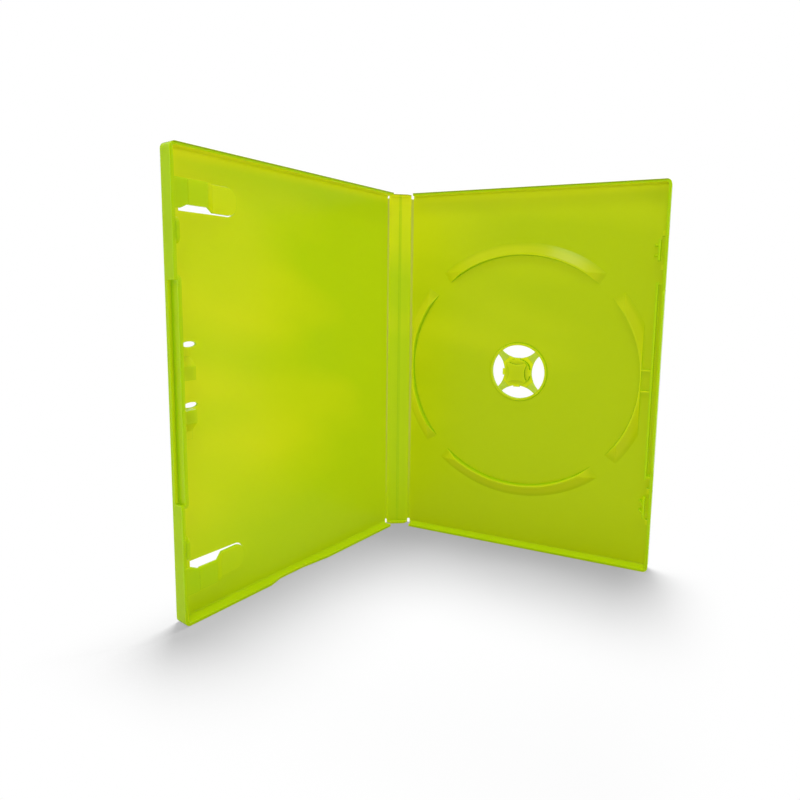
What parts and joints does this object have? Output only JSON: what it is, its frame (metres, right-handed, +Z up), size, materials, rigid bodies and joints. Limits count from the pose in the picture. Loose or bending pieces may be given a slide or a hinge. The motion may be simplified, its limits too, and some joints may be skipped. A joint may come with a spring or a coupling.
{
  "type": "game disc case",
  "caption": "Translucent lime keep case for a game disc, hinged open like a book, with a push hub, a disc ring, booklet clips and interlocking edges.",
  "frame": {"origin": "on the surface that the case stands on, below the middle of the open case's box", "axes": "+Z up the case's height, +X along the disc tray from its hinge to its free edge, +Y out of the tray's back face"},
  "size_m": [0.1726, 0.1412, 0.19],
  "materials": {
    "lime_polypropylene": "translucent satin moulded polypropylene",
    "thin_polypropylene": "thin flexing web of the same polypropylene, paler"
  },
  "bodies": {
    "disc_tray": {"disc_tray": "lime_polypropylene", "hub_arms": "thin_polypropylene"},
    "spine": {"spine": "lime_polypropylene", "rear_hinge_web": "thin_polypropylene"},
    "front_cover": {"front_cover": "lime_polypropylene", "front_hinge_web": "thin_polypropylene"},
    "hub_button": {"hub_button": "lime_polypropylene"}
  },
  "joints": [
    {"name": "rear_hinge", "type": "hinge", "parent": "disc_tray", "child": "spine", "pos_m": [-0.04848, 0.07035, 0.095], "axis": [0, 0, 1], "range_deg": [-31, 59], "deforming": ["rear_hinge_web"]},
    {"name": "front_hinge", "type": "hinge", "parent": "spine", "child": "front_cover", "pos_m": [-0.06057, 0.06309, 0.095], "axis": [0, 0, 1], "range_deg": [-48, 42], "deforming": ["front_hinge_web"]},
    {"name": "hub_push", "type": "slide", "parent": "disc_tray", "child": "hub_button", "axis": [0, 1, 0], "range_m": [0, 0.001], "stiffness_N_per_m": 400, "deforming": ["hub_arms"]}
  ]
}
